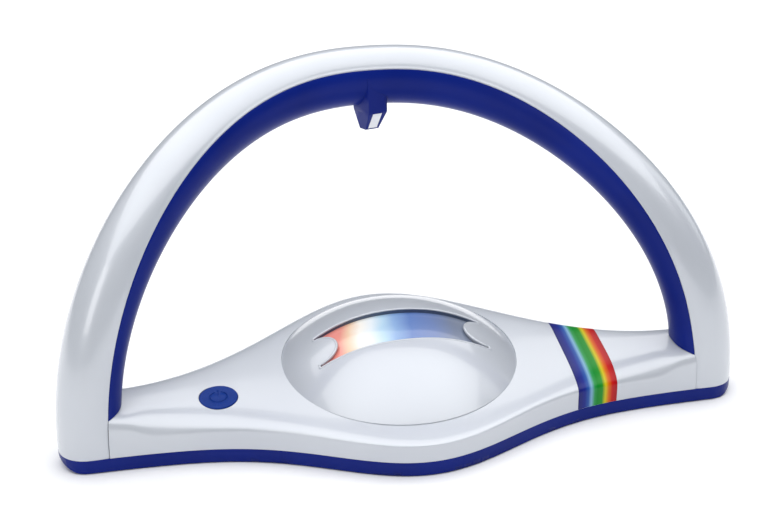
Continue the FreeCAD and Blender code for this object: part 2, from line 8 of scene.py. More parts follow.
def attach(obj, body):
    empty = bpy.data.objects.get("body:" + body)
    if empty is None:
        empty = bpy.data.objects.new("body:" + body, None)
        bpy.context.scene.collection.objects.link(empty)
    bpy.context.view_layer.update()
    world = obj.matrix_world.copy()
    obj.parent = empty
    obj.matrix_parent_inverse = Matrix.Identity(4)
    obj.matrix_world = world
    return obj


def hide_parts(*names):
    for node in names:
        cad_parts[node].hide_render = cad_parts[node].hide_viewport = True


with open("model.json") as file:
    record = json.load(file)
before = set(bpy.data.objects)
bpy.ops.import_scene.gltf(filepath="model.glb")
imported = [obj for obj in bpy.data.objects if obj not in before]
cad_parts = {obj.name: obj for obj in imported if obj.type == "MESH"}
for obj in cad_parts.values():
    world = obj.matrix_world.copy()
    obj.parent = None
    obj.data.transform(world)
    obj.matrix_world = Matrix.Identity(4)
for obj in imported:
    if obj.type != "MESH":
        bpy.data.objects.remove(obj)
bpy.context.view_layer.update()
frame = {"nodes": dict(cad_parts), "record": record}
nodes = frame["nodes"]
mm = 0.001  # sizes below are in millimetres
weld = 2e-6  # points closer than this, in metres, are one


# ---- small helpers ----

def srgb(code):
    parts = [int(code[i:i + 2], 16) / 255 for i in (1, 3, 5)]
    return tuple(p / 12.92 if p <= 0.04045 else ((p + 0.055) / 1.055) ** 2.4 for p in parts) + (1.0,)


def addNode(tree, kind, settings=None, links=None):
    node = tree.nodes.new(kind)
    for key, value in (settings or {}).items():
        setattr(node, key, value)
    for key, value in (links or {}).items():
        if isinstance(value, bpy.types.NodeSocket):
            tree.links.new(value, node.inputs[key])
        else:
            node.inputs[key].default_value = value
    return node


def newMaterial(name):
    mat = bpy.data.materials.new(name)
    mat.use_nodes = True
    mat.node_tree.nodes.clear()
    return mat, mat.node_tree


def finishMaterial(tree, shader):
    addNode(tree, "ShaderNodeOutputMaterial", links={"Surface": shader.outputs[0]})


def setRamp(node, stops):
    ramp = node.color_ramp
    while len(ramp.elements) < len(stops):
        ramp.elements.new(1.0)
    for element, (place, code) in zip(ramp.elements, stops):
        element.position = place
        element.color = srgb(code)


def linkObject(name, data):
    obj = bpy.data.objects.new(name, data)
    bpy.context.scene.collection.objects.link(obj)
    return obj


def meshObject(name, verts, faces, material=None):
    # verts are in millimetres, the mesh in metres with the object at the origin
    mesh = bpy.data.meshes.new(name)
    mesh.from_pydata([Vector(v) * mm for v in verts], [], faces)
    if material:
        mesh.materials.append(material)
    return linkObject(name, mesh)


def bakeModifiers(obj):
    # turns the evaluated object into a plain mesh and drops its modifiers
    graph = bpy.context.evaluated_depsgraph_get()
    graph.update()
    mesh = bpy.data.meshes.new_from_object(obj.evaluated_get(graph))
    if obj.type == "MESH":
        obj.modifiers.clear()
        obj.data = mesh
        return obj
    name = obj.name
    bpy.data.objects.remove(obj)
    return linkObject(name, mesh)


def smoothPiece(obj, angle):
    for face in obj.data.polygons:
        face.use_smooth = True
    obj.data.set_sharp_from_angle(angle=math.radians(angle))


def handOver(obj, body, node=None):
    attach(obj, body)
    if node:
        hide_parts(node)


def settlePiece(obj, angle, node=None):
    # merges doubles, points the faces outwards and shades smooth; every piece made here is on the scanner
    work = bmesh.new()
    work.from_mesh(obj.data)
    bmesh.ops.remove_doubles(work, verts=work.verts, dist=weld)
    bmesh.ops.recalc_face_normals(work, faces=work.faces)
    work.to_mesh(obj.data)
    work.free()
    smoothPiece(obj, angle)
    handOver(obj, "scanner", node)


def faceAway(obj, inner):
    # turns an open sheet's faces so that they look away from a point inside the product
    mesh = obj.data
    middle = mesh.polygons[len(mesh.polygons) // 2]
    if middle.normal.dot(middle.center - Vector(inner) * mm) < 0:
        mesh.flip_normals()


def thicken(obj, thickness):
    addModifier(obj, "SOLIDIFY", thickness=thickness * mm, offset=-1.0)


def spread(first, last, steps):
    return [first + (last - first) * k / steps for k in range(steps + 1)]


def circle(radius, sides):
    turns = [2 * math.pi * k / sides for k in range(sides)]
    return [(radius * math.cos(t), radius * math.sin(t)) for t in turns]


def gridFaces(rows, cols, closed=False):
    wrap = cols if closed else cols - 1
    return [(i * cols + j, i * cols + (j + 1) % cols,
             (i + 1) * cols + (j + 1) % cols, (i + 1) * cols + j)
            for i in range(rows - 1) for j in range(wrap)]


def addModifier(obj, kind, **settings):
    modifier = obj.modifiers.new(kind.lower(), kind)
    for key, value in settings.items():
        setattr(modifier, key, value)
    return modifier


# ---- materials ----

def pearlWhiteAbs():
    # injection-moulded ABS under a clear pearly lacquer: crisp reflections over a cool, faintly silky white
    mat, tree = newMaterial("pearl_white_lacquered_abs")
    coords = addNode(tree, "ShaderNodeTexCoord")
    broad = addNode(tree, "ShaderNodeTexNoise", {}, {
        "Vector": coords.outputs["Object"], "Scale": 1 / (60 * mm), "Detail": 2.0})
    tint = addNode(tree, "ShaderNodeValToRGB", {}, {"Fac": broad.outputs["Fac"]})
    setRamp(tint, [(0.3, "#cdd1d8"), (0.7, "#d3d7dd")])
    peel = addNode(tree, "ShaderNodeTexNoise", {}, {
        "Vector": coords.outputs["Object"], "Scale": 1 / (2.2 * mm), "Detail": 2.0})
    bump = addNode(tree, "ShaderNodeBump", {}, {
        "Strength": 0.03, "Distance": 0.05 * mm, "Height": peel.outputs["Fac"]})
    rough = addNode(tree, "ShaderNodeMapRange", {}, {
        "Value": broad.outputs["Fac"], "To Min": 0.3, "To Max": 0.36})
    shader = addNode(tree, "ShaderNodeBsdfPrincipled", {}, {
        "Base Color": tint.outputs["Color"], "Roughness": rough.outputs["Result"], "IOR": 1.53,
        "Metallic": 0.13, "Coat Weight": 0.8, "Coat Roughness": 0.07, "Coat IOR": 1.5,
        "Normal": bump.outputs["Normal"]})
    finishMaterial(tree, shader)
    return mat


def cobaltAbs():
    # through-coloured ABS from a polished tool: an even, deep cobalt with soft highlights
    mat, tree = newMaterial("cobalt_moulded_abs")
    coords = addNode(tree, "ShaderNodeTexCoord")
    broad = addNode(tree, "ShaderNodeTexNoise", {}, {
        "Vector": coords.outputs["Object"], "Scale": 1 / (45 * mm), "Detail": 3.0})
    tint = addNode(tree, "ShaderNodeValToRGB", {}, {"Fac": broad.outputs["Fac"]})
    setRamp(tint, [(0.3, "#091e76"), (0.7, "#0c2484")])
    peel = addNode(tree, "ShaderNodeTexNoise", {}, {
        "Vector": coords.outputs["Object"], "Scale": 1 / (1.6 * mm), "Detail": 2.0})
    bump = addNode(tree, "ShaderNodeBump", {}, {
        "Strength": 0.04, "Distance": 0.05 * mm, "Height": peel.outputs["Fac"]})
    rough = addNode(tree, "ShaderNodeMapRange", {}, {
        "Value": broad.outputs["Fac"], "To Min": 0.3, "To Max": 0.38})
    shader = addNode(tree, "ShaderNodeBsdfPrincipled", {}, {
        "Base Color": tint.outputs["Color"], "Roughness": rough.outputs["Result"], "IOR": 1.5,
        "Specular IOR Level": 0.14, "Normal": bump.outputs["Normal"]})
    finishMaterial(tree, shader)
    return mat


def plainPlastic(name, dark, light, roughness, grain, strength=0.1, coat=0.0, shine=0.5):
    # moulded plastic with a fine spark-eroded grain: soft highlights broken up by the texture
    mat, tree = newMaterial(name)
    coords = addNode(tree, "ShaderNodeTexCoord")
    fine = addNode(tree, "ShaderNodeTexNoise", {}, {
        "Vector": coords.outputs["Object"], "Scale": 1 / (grain * mm), "Detail": 3.0})
    tint = addNode(tree, "ShaderNodeValToRGB", {}, {"Fac": fine.outputs["Fac"]})
    setRamp(tint, [(0.3, dark), (0.7, light)])
    bump = addNode(tree, "ShaderNodeBump", {}, {
        "Strength": strength, "Distance": 0.1 * mm, "Height": fine.outputs["Fac"]})
    shader = addNode(tree, "ShaderNodeBsdfPrincipled", {}, {
        "Base Color": tint.outputs["Color"], "Roughness": roughness, "Specular IOR Level": shine,
        "Coat Weight": coat, "Normal": bump.outputs["Normal"]})
    finishMaterial(tree, shader)
    return mat


def plainMetal(name, dark, light, roughness, grain):
    # rolled or drawn metal: fine lines along the working direction
    mat, tree = newMaterial(name)
    coords = addNode(tree, "ShaderNodeTexCoord")
    drawn = addNode(tree, "ShaderNodeMapping", {}, {
        "Vector": coords.outputs["Object"], "Scale": (1.0, 1.0, 0.08)})
    lines = addNode(tree, "ShaderNodeTexNoise", {}, {
        "Vector": drawn.outputs["Vector"], "Scale": 1 / (grain * mm), "Detail": 4.0})
    tint = addNode(tree, "ShaderNodeValToRGB", {}, {"Fac": lines.outputs["Fac"]})
    setRamp(tint, [(0.3, dark), (0.7, light)])
    bump = addNode(tree, "ShaderNodeBump", {}, {
        "Strength": 0.08, "Distance": 0.05 * mm, "Height": lines.outputs["Fac"]})
    shader = addNode(tree, "ShaderNodeBsdfPrincipled", {}, {
        "Base Color": tint.outputs["Color"], "Metallic": 1.0, "Roughness": roughness,
        "Normal": bump.outputs["Normal"]})
    finishMaterial(tree, shader)
    return mat


def rainbowInk():
    # glossy printed film: seven inks that run into each other
    mat, tree = newMaterial("rainbow_printed_film")
    coords = addNode(tree, "ShaderNodeTexCoord")
    turn = addNode(tree, "ShaderNodeMapping", {"vector_type": "TEXTURE"}, {
        "Vector": coords.outputs["Object"], "Location": (inlay["x"] * mm, inlay["y"] * mm, 0),
        "Rotation": (0, 0, -math.radians(inlay["turn"]))})
    split = addNode(tree, "ShaderNodeSeparateXYZ", {}, {"Vector": turn.outputs["Vector"]})
    across = addNode(tree, "ShaderNodeMapRange", {}, {
        "Value": split.outputs["X"], "From Min": 0.0, "From Max": inlay["width"] * mm})
    inks = addNode(tree, "ShaderNodeValToRGB", {}, {"Fac": across.outputs["Result"]})
    setRamp(inks, [(0.0, "#1c1a6a"), (0.17, "#16268a"), (0.27, "#2c5aa8"), (0.34, "#86b4d4"),
                   (0.42, "#2f9a50"), (0.5, "#008a26"), (0.62, "#22942a"), (0.7, "#d8c818"),
                   (0.78, "#e07014"), (0.87, "#c81612"), (1.0, "#ac0c16")])
    shader = addNode(tree, "ShaderNodeBsdfPrincipled", {}, {
        "Base Color": inks.outputs["Color"], "Roughness": 0.3, "Specular IOR Level": 0.25})
    finishMaterial(tree, shader)
    return mat


def shiftWindowWithPaintedHighlight():
    # clear acrylic over a colour-shifting film: warm at the left, then a cream-white band that is a painted
    # highlight, then blue, and slate at the right
    mat, tree = newMaterial("colour_shift_window_with_painted_highlight")
    coords = addNode(tree, "ShaderNodeTexCoord")
    drift = addNode(tree, "ShaderNodeTexNoise", {}, {
        "Vector": coords.outputs["Object"], "Scale": 1 / (14 * mm), "Detail": 1.0})
    split = addNode(tree, "ShaderNodeSeparateXYZ", {}, {"Vector": coords.outputs["Object"]})
    soft = addNode(tree, "ShaderNodeMath", {"operation": "MULTIPLY_ADD"}, {
        0: drift.outputs["Fac"], 1: 0.006, 2: split.outputs["X"]})
    lean = addNode(tree, "ShaderNodeMath", {"operation": "MULTIPLY_ADD"}, {
        0: split.outputs["Y"], 1: -0.12, 2: soft.outputs["Value"]})
    across = addNode(tree, "ShaderNodeMapRange", {}, {
        "Value": lean.outputs["Value"], "From Min": -36 * mm, "From Max": 40 * mm})
    # the cream and white stops in this ramp are a painted highlight; the other stops are the film's own
    # colour
    filmAndPaintedHighlight = addNode(tree, "ShaderNodeValToRGB", {}, {"Fac": across.outputs["Result"]})
    setRamp(filmAndPaintedHighlight, [(0.0, "#ee8c84"), (0.13, "#f29a8c"), (0.19, "#f8d2b0"), (0.26, "#fffaf0"),
                   (0.34, "#eef6fa"), (0.41, "#bcdcf0"), (0.49, "#8fb2e0"), (0.60, "#6484c4"),
                   (0.74, "#7086ba"), (0.88, "#7f8aa2"), (1.0, "#8a92a2")])
    shader = addNode(tree, "ShaderNodeBsdfPrincipled", {}, {
        "Base Color": filmAndPaintedHighlight.outputs["Color"], "Roughness": 0.25, "IOR": 1.49, "Coat Weight": 0.5,
        "Coat Roughness": 0.05})
    finishMaterial(tree, shader)
    return mat


def solderMask():
    # glass-epoxy board under green mask: tracks show as slightly lighter, raised lines
    mat, tree = newMaterial("green_solder_mask_board")
    coords = addNode(tree, "ShaderNodeTexCoord")
    tracks = addNode(tree, "ShaderNodeTexBrick", {}, {
        "Vector": coords.outputs["Object"], "Scale": 1 / (4 * mm), "Mortar Size": 0.06,
        "Color1": srgb("#0d5a2a"), "Color2": srgb("#0f6330"), "Mortar": srgb("#2f8a4a")})
    bump = addNode(tree, "ShaderNodeBump", {}, {
        "Strength": 0.3, "Distance": 0.05 * mm, "Height": tracks.outputs["Fac"]})
    shader = addNode(tree, "ShaderNodeBsdfPrincipled", {}, {
        "Base Color": tracks.outputs["Color"], "Roughness": 0.4, "IOR": 1.5,
        "Normal": bump.outputs["Normal"]})
    finishMaterial(tree, shader)
    return mat


# ---- shape rules shared by the mouldings (millimetres) ----

arch = {"half": 155.0, "rise": 154.7, "power": 2.27, "sweep": 89.5, "footY": -26.4, "radius": 15.0,
        "seam": 9.0, "wall": 2.2, "gap": 0.15, "footSquare": 2.6, "footBlend": 22.0, "round": 0.45}
base = {"split": 7.3, "frontBulge": 36.7, "frontSpread": 61.9, "backBulge": 82.3, "backSpread": 82.0,
        "deck": 24.85, "rise": 4.0, "tilt": 0.105, "edge": 14.2, "wall": 2.2,
        "frontDrop": 4.5, "frontEdgeDrop": 2.5, "armFrom": 100.0, "collarFrom": 124.0, "collarBlend": 14.0,
        "square": 4.6, "squarer": 1.2, "edgeRise": 0.8, "middleSpread": 110.0, "armEnd": 146.0}
dome = {"y": -3.6, "radius": 59.6, "rise": 19.5, "power": 2.5, "tip": 5.8, "skirt": 4.0, "wall": 2.2,
        "slotHalf": 43.0, "slotFront": -17.5, "slotBack": 7.5, "frontBow": 2.5, "backBow": 7.5,
        "tongueR": 10.0, "tongueY": -5.0}
inlay = {"x": 82.5, "y": -20.0, "width": 21.5, "turn": 4.0, "thick": 0.3, "proud": 0.03}
window = {"sideLap": 2.5, "endLap": 2.4, "gap": 0.08, "thick": 1.1}
button = {"x": -93.2, "y": -24.9, "radius": 9.3}


def archPoint(a):
    c, s = math.cos(a), math.sin(a)
    k = (abs(c) ** arch["power"] + abs(s) ** arch["power"]) ** (-1 / arch["power"])
    h = s * k
    return Vector((arch["half"] * c * k, arch["footY"] + arch["sweep"] * h ** 3, arch["rise"] * h))


def inTube(a, u, v):
    p = archPoint(a)
    along = (archPoint(a + 1e-4) - archPoint(a - 1e-4)).normalized()
    front = Vector((0, -1, 3 * arch["sweep"] * p.z ** 2 / arch["rise"] ** 3)).normalized()
    return p + along.cross(front) * u + front * v


def squareness(z):
    return 2 + arch["footSquare"] * math.exp(-(z / arch["footBlend"]) ** 2)


def tubeSide(u, r, z):
    n = squareness(z)
    return (r ** n - abs(u) ** n) ** (1 / n)


def closingUp(i, count, power=1.4):
    # places from 0 to 1 that close up towards both ends
    t = -1 + 2 * i / (count - 1)
    return 0.5 + 0.5 * math.copysign(1 - (1 - abs(t)) ** power, t)


def bulge(x, size, spread):
    return size * math.exp(-(x / spread) ** 2) * (1 - (min(abs(x), arch["half"]) / arch["half"]) ** 12) ** 2


def frontY(x):
    return arch["footY"] - arch["radius"] - bulge(x, base["frontBulge"], base["frontSpread"])


def backY(x):
    return arch["footY"] + arch["radius"] + bulge(x, base["backBulge"], base["backSpread"])


def deckRule(x):
    # how square the section is, and the heights of its edge and of its top
    middle = math.exp(-(x / base["middleSpread"]) ** 4)
    edge = base["edge"] + base["edgeRise"] * middle
    top = base["deck"] + base["rise"] * (abs(x) / base["armEnd"]) ** 6
    return base["square"] + base["squarer"] * middle, edge, top


def armShare(x):
    # 1 along the arms, fading out under the dome and at the collars round the arch's feet
    t = min(max((abs(x) - base["collarFrom"]) / base["collarBlend"], 0.0), 1.0)
    return (1 - math.exp(-(x / base["armFrom"]) ** 4)) * (1 - t * t * (3 - 2 * t))


def deckLift(x, u, half, lift, drop):
    power, edge, top = deckRule(x)
    share = armShare(x) if u < 0 else 0.0
    edge -= base["frontEdgeDrop"] * share
    fall = base["frontDrop"] * share * abs(u) ** 3
    return edge + lift * (top - edge - drop + base["tilt"] * half * u - fall)


def deckHeight(x, y):
    power = deckRule(x)[0]
    half = (backY(x) - frontY(x)) / 2
    u = max(-1.0, min(1.0, (y - (frontY(x) + backY(x)) / 2) / half))
    return deckLift(x, u, half, (1 - abs(u) ** power) ** (1 / power), 0.0)


def deckPoint(x, t, drop=0.0):
    # t runs from 0 at the front wall's top to pi at the back wall's
    power = deckRule(x)[0]
    y0, y1 = frontY(x) + drop, backY(x) - drop
    half = (y1 - y0) / 2
    u = -math.copysign(abs(math.cos(t)) ** (2 / power), math.cos(t))
    lift = max(math.sin(t), 0.0) ** (2 / power)
    return Vector((x, (y0 + y1) / 2 + u * half, deckLift(x, u, half, lift, drop)))


def acrossDeck(count):
    # t from wall to wall, with each end twice because the wall goes down from it
    return [0.0] + spread(0, math.pi, count - 1) + [math.pi]


def domeHeight(r, drop=0.0):
    return dome["rise"] * (1 - (r / dome["radius"]) ** dome["power"]) - drop


def tipped(point, x, y, z, degrees):
    turned = Matrix.Rotation(math.radians(degrees), 3, "X") @ Vector(point)
    return turned + Vector((x, y, z))


def onDome(point):
    return tipped(point, 0, dome["y"], base["deck"], dome["tip"])


def buttonTip():
    x, y = button["x"], button["y"]
    return math.degrees(math.atan((deckHeight(x, y + 1) - deckHeight(x, y - 1)) / 2))


def onButton(point):
    return tipped(point, button["x"], button["y"], deckHeight(button["x"], button["y"]), buttonTip())


whiteAbs = pearlWhiteAbs()
blueAbs = cobaltAbs()
print("materials for the shells ready")


# ---- arch ----

def archShell():
    stations, flankSteps, backSteps, innerSteps, wallSteps = 150, 8, 28, 14, 5
    r, q, seam, bead = arch["radius"], arch["radius"] - arch["wall"], arch["seam"], arch["round"]
    start = math.asin(base["split"] / arch["rise"])
    back = [(r * math.sin(t), r * math.cos(t)) for t in spread(0, math.pi, backSteps)]
    inner = [(q * math.sin(t), -q * math.cos(t)) for t in spread(0, math.pi, innerSteps)]
    verts = []
    for i in range(stations):
        a = start + (math.pi - 2 * start) * closingUp(i, stations)
        z = archPoint(a).z
        edgeV = tubeSide(seam - bead, r, z)
        half = [(-seam, tubeSide(seam, q, z)), (-seam, edgeV - bead)]
        half += [(-seam + bead * (1 - math.cos(t)), edgeV - bead * (1 - math.sin(t))) for t in (0.5, 1.05)]
        flank = [(seam - bead) * (1 - k / flankSteps) for k in range(flankSteps)]
        half += [(-u, tubeSide(u, r, z)) for u in flank]
        wall = [seam * k / wallSteps for k in range(1, wallSteps)]
        wall = [(-u, tubeSide(u, q, z)) for u in wall]
        loop = half + back + [(u, -v) for u, v in reversed(half)]
        loop += [(u, -v) for u, v in reversed(wall)] + inner + wall
        ring = [inTube(a, u, v) for u, v in loop]
        if i in (0, stations - 1):
            for p in ring:
                p.z = base["split"]  # the feet stand flat on the blue shell
        verts += ring
    cols = len(loop)
    faces = gridFaces(stations, cols, True)
    faces += [tuple(range(cols)), tuple((stations - 1) * cols + j for j in range(cols))[::-1]]
    shell = meshObject("arch_shell_white", verts, faces, whiteAbs)
    settlePiece(shell, 40, "arch_outer_shell")


def archLiner():
    # each line along the liner ends where it meets the top of the base
    stations, cols, halvings = 150, 33, 40
    lowest, highest, deckEnd, clear, aboveFeet = 0.03, 0.6, 152.0, 0.2, 30.0
    r = arch["radius"]
    lip = (arch["seam"] + arch["gap"]) / r
    top = math.acos(lip ** (squareness(aboveFeet) / 2))

    def linerPoint(a, t):
        n = squareness(archPoint(a).z)
        s = math.acos(lip ** (n / 2)) * t / top
        return inTube(a, -r * math.cos(s) ** (2 / n), math.copysign(r * abs(math.sin(s)) ** (2 / n), s))

    lines = []
    for j in range(cols):
        t = top * (1 - 2 * j / (cols - 1))
        low, high = lowest, highest
        for step in range(halvings):
            mid = (low + high) / 2
            p = linerPoint(mid, t)
            if p.z < deckHeight(min(abs(p.x), deckEnd), p.y) + clear:
                low = mid
            else:
                high = mid
        places = [high + (math.pi - 2 * high) * closingUp(i, stations) for i in range(stations)]
        lines.append([linerPoint(a, t) for a in places])
    verts = [lines[j][i] for i in range(stations) for j in range(cols)]
    liner = meshObject("arch_liner_blue", verts, gridFaces(stations, cols), blueAbs)
    faceAway(liner, archPoint(math.pi / 2))
    thicken(liner, arch["wall"])
    addModifier(liner, "BEVEL", width=0.4 * mm, segments=3,
                limit_method="ANGLE", angle_limit=math.radians(50))
    bakeModifiers(liner)
    settlePiece(liner, 40, "arch_inner_liner")


archShell()
archLiner()
print("arch shells made")


# ---- base shells ----

def cutterPrism(name, outline, z0, z1, place):
    count = len(outline)
    verts = [place((x, y, z)) for z in (z0, z1) for x, y in outline]
    faces = gridFaces(2, count, True) + [tuple(range(count))[::-1], tuple(range(count, 2 * count))]
    return meshObject(name, verts, faces)


def cutWith(obj, cutters):
    for cutter in cutters:
        addModifier(obj, "BOOLEAN", operation="DIFFERENCE", object=cutter, solver="EXACT")
    bakeModifiers(obj)
    for cutter in cutters:
        bpy.data.objects.remove(cutter)


def topShell():
    # the ends follow the arch's feet, whose reach depends on the height, so each point settles in a few steps
    stations, profile, settling = 260, 84, 3
    seat, wellGap, holeGap = 0.1, 0.06, 0.2
    verts = []
    for i in range(stations):
        s = -1 + 2 * i / (stations - 1)
        for k, t in enumerate(acrossDeck(profile)):
            x = s * (arch["half"] - arch["seam"] - arch["gap"])
            for step in range(settling):
                p = deckPoint(x, t)
                if k in (0, profile + 1):
                    p.z = base["split"] + seat
                reach = arch["half"] * (1 - (p.z / arch["rise"]) ** arch["power"]) ** (1 / arch["power"])
                x = s * (reach - arch["seam"] - arch["gap"])
            verts.append(p)
    shell = meshObject("base_top_white", verts, gridFaces(stations, profile + 2), whiteAbs)
    faceAway(shell, (0, 0, base["split"]))
    thicken(shell, base["wall"])
    well = cutterPrism("well", circle(dome["radius"] + wellGap, 128), -12, 16, onDome)
    hole = cutterPrism("hole", circle(button["radius"] + holeGap, 72), -6, 6, onButton)
    cutWith(shell, [well, hole])
    settlePiece(shell, 38, "top_shell")


topShell()
print("base top made")


# ---- dome, window and slot ----

def domeCover():
    rings, innerRings, sides = 44, 20, 180
    radius, skirt, wall = dome["radius"], dome["skirt"], dome["wall"]
    q = radius - wall
    outer = [radius * math.sin(0.5 * math.pi * k / rings) for k in range(1, rings)]
    inner = [q * math.sin(0.5 * math.pi * k / innerRings) for k in range(innerRings, 0, -1)]
    rows = [(r, domeHeight(r)) for r in outer]
    rows += [(radius - 0.02, 0.12), (radius, -0.25), (radius, -skirt), (q, -skirt)]
    rows += [(r, domeHeight(r, wall)) for r in inner]
    verts = [onDome((x, y, z)) for r, z in rows for x, y in circle(r, sides)]
    faces = gridFaces(len(rows), sides, True)
    verts += [onDome((0, 0, domeHeight(0))), onDome((0, 0, domeHeight(0, wall)))]
    top, low, last = len(verts) - 2, len(verts) - 1, (len(rows) - 1) * sides
    faces += [(top, (j + 1) % sides, j) for j in range(sides)]
    faces += [(low, last + j, last + (j + 1) % sides) for j in range(sides)]
    cover = meshObject("dome_cover_white", verts, faces, whiteAbs)
    cutWith(cover, [slotCutter()])
    settlePiece(cover, 38, "dome_cover")


def slotOutline():
    # two bowed sides, and at each end a round tongue that points into the slot
    sideSteps, tongueSteps = 48, 28
    x, front, back = dome["slotHalf"], dome["slotFront"], dome["slotBack"]
    ty, tr = dome["tongueY"], dome["tongueR"]
    side = spread(0, math.pi, sideSteps)
    tongue = spread(math.pi / 2, -math.pi / 2, tongueSteps)
    bow = [(x * math.cos(t), back + dome["backBow"] * math.sin(t) ** 2) for t in side]
    near = [(-x * math.cos(t), front + dome["frontBow"] * math.sin(t) ** 2) for t in side]
    left = [(-x + tr * math.cos(t), ty + tr * math.sin(t)) for t in tongue]
    right = [(-px, 2 * ty - py) for px, py in left]
    return bow + left + near + right


def slotCutter():
    cutter = cutterPrism("slot", slotOutline(), 0.0, 30.0, onDome)
    work = bmesh.new()
    work.from_mesh(cutter.data)
    bmesh.ops.triangulate(work, faces=[f for f in work.faces if len(f.verts) > 4])
    bmesh.ops.recalc_face_normals(work, faces=work.faces)
    work.to_mesh(cutter.data)
    work.free()
    return cutter


def displayWindow():
    cols, rows = 97, 33
    x, front = dome["slotHalf"] + window["sideLap"], dome["slotFront"] - window["endLap"]
    back = dome["slotBack"] + dome["backBow"] + window["endLap"]
    verts = []
    for i in range(rows):
        y = front + (back - front) * i / (rows - 1)
        for j in range(cols):
            px = x * (-1 + 2 * j / (cols - 1))
            verts.append(onDome((px, y, domeHeight(math.hypot(px, y), dome["wall"] + window["gap"]))))
    strip = meshObject("display_window_strip", verts, gridFaces(rows, cols), windowColoursAndHighlight)
    faceAway(strip, (0, 0, 0))
    thicken(strip, window["thick"])
    bakeModifiers(strip)
    settlePiece(strip, 40, "display_window")


def slotBead():
    # moulded bead that finishes the slot's edge and catches the light
    sides, radius, sunk = 10, 0.75, 0.45
    spine = [onDome((x, y, domeHeight(math.hypot(x, y)) - sunk)) for x, y in slotOutline()]
    count = len(spine)
    verts = []
    for i, p in enumerate(spine):
        along = (spine[(i + 1) % count] - spine[i - 1]).normalized()
        flat = along.cross(Vector((0, 0, 1))).normalized()
        rise = flat.cross(along)
        verts += [p + flat * u + rise * v for u, v in circle(radius, sides)]
    last = (count - 1) * sides
    faces = gridFaces(count, sides, True)
    faces += [(last + j, last + (j + 1) % sides, (j + 1) % sides, j) for j in range(sides)]
    settlePiece(meshObject("slot_edge_bead", verts, faces, whiteAbs), 60)


windowColoursAndHighlight = shiftWindowWithPaintedHighlight()
domeCover()
displayWindow()
slotBead()
print("dome and window made")


# ---- rainbow inlay ----

def rainbowBand():
    cols, profile, settling, seat = 25, 110, 4, 0.15
    turn = math.radians(inlay["turn"])
    verts = []
    for k, t in enumerate(acrossDeck(profile)):
        for j in range(cols):
            across = inlay["width"] * j / (cols - 1)
            x = inlay["x"] + across
            for step in range(settling):
                p = deckPoint(x, t, -inlay["proud"])
                x = inlay["x"] + across / math.cos(turn) + (p.y - inlay["y"]) * math.tan(turn)
            if k in (0, profile + 1):
                p.z = base["split"] + seat
            verts.append(p)
    band = meshObject("rainbow_band_print", verts, gridFaces(profile + 2, cols), rainbowInk())
    faceAway(band, (inlay["x"], 0, base["split"]))
    thicken(band, inlay["thick"])
    bakeModifiers(band)
    settlePiece(band, 60, "rainbow_band")


rainbowBand()
print("rainbow band made")


# ---- pieces kept from the frame, smoothed ----

def smoothCopy(node, body, material):
    # joins the frame piece's flat facets, so that its curves shade evenly
    copy = linkObject(node + "_fine", nodes[node].data.copy())
    copy.data.materials.clear()
    copy.data.materials.append(material)
    work = bmesh.new()
    work.from_mesh(copy.data)
    bmesh.ops.remove_doubles(work, verts=work.verts, dist=weld)
    bmesh.ops.dissolve_limit(work, angle_limit=math.radians(0.5), verts=work.verts, edges=work.edges)
    bmesh.ops.triangulate(work, faces=work.faces, quad_method="BEAUTY", ngon_method="BEAUTY")
    work.to_mesh(copy.data)
    work.free()
    smoothPiece(copy, 30)
    addModifier(copy, "WEIGHTED_NORMAL", weight=100, keep_sharp=True)
    bakeModifiers(copy)
    handOver(copy, body, node)


buttonAbs = plainPlastic("satin_blue_abs", "#0a3080", "#0c378c", 0.34, 1.2, 0.03, 0.0, 0.12)
smoothCopy("bottom_shell", "scanner", blueAbs)
smoothCopy("battery_door", "door", blueAbs)
smoothCopy("power_button", "button", buttonAbs)
smoothCopy("pod_housing", "scanner", blueAbs)

finishes = {
    # this slate also colours the display frame's lip along the slot's rear edge, a dark sheet that stands in
    # for the shade on the slot's white rear wall: painted shade; on the rest of the frame it is the frame's
    # own colour
    "slate_plastic": plainPlastic("slate_pc_and_painted_slot_shade", "#4d5a72", "#56647d", 0.4, 0.8),
    "display_glass": plainPlastic("dark_display_glass", "#20262e", "#262d36", 0.1, 5.0, 0.0, 1.0),
    "circuit_board": solderMask(),
    "chip_plastic": plainPlastic("black_epoxy_packages", "#101012", "#19191c", 0.55, 0.3),
    "copper_wire": plainMetal("enamelled_copper", "#a8582c", "#c87040", 0.3, 0.6),
    "lead_sleeve": plainPlastic("grey_pvc_sleeve", "#3c3c42", "#46464c", 0.5, 1.0),
    "nylon": plainPlastic("natural_nylon", "#d6d2c4", "#dfdccf", 0.45, 1.0),
    "lens_plastic": plainPlastic("milky_white_pmma", "#f4f6fb", "#ffffff", 0.2, 3.0, 0.0, 0.5),
    "steel": plainMetal("bright_zinc_steel", "#b4b6ba", "#c6c8cc", 0.28, 0.4),
    "cell_sleeve": plainPlastic("printed_cell_sleeve", "#26282c", "#2e3034", 0.3, 4.0, 0.02, 0.4),
    "rubber": plainPlastic("soft_pad_rubber", "#1c1c1e", "#242427", 0.8, 0.4, 0.3),
    "white_plastic": whiteAbs,
    "blue_plastic": blueAbs,
    "button_plastic": buttonAbs,
    "clear_window": windowColoursAndHighlight,
    "rainbow_print": bpy.data.materials["rainbow_printed_film"],
}
for part in frame["record"]["subparts"]:
    piece = nodes[part["node"]]
    piece.data.materials.clear()
    piece.data.materials.append(finishes[part["material_slot"]])
print("finishes set on the other pieces")


# ---- antenna winding: strands twisted round each other along the loop ----

coil = {"bundle": 1.62, "strand": 0.7, "strands": 7, "twists": 24, "out": 2.0, "back": 16.0,
        "low": 9.6, "start": 0.16, "steps": 260}


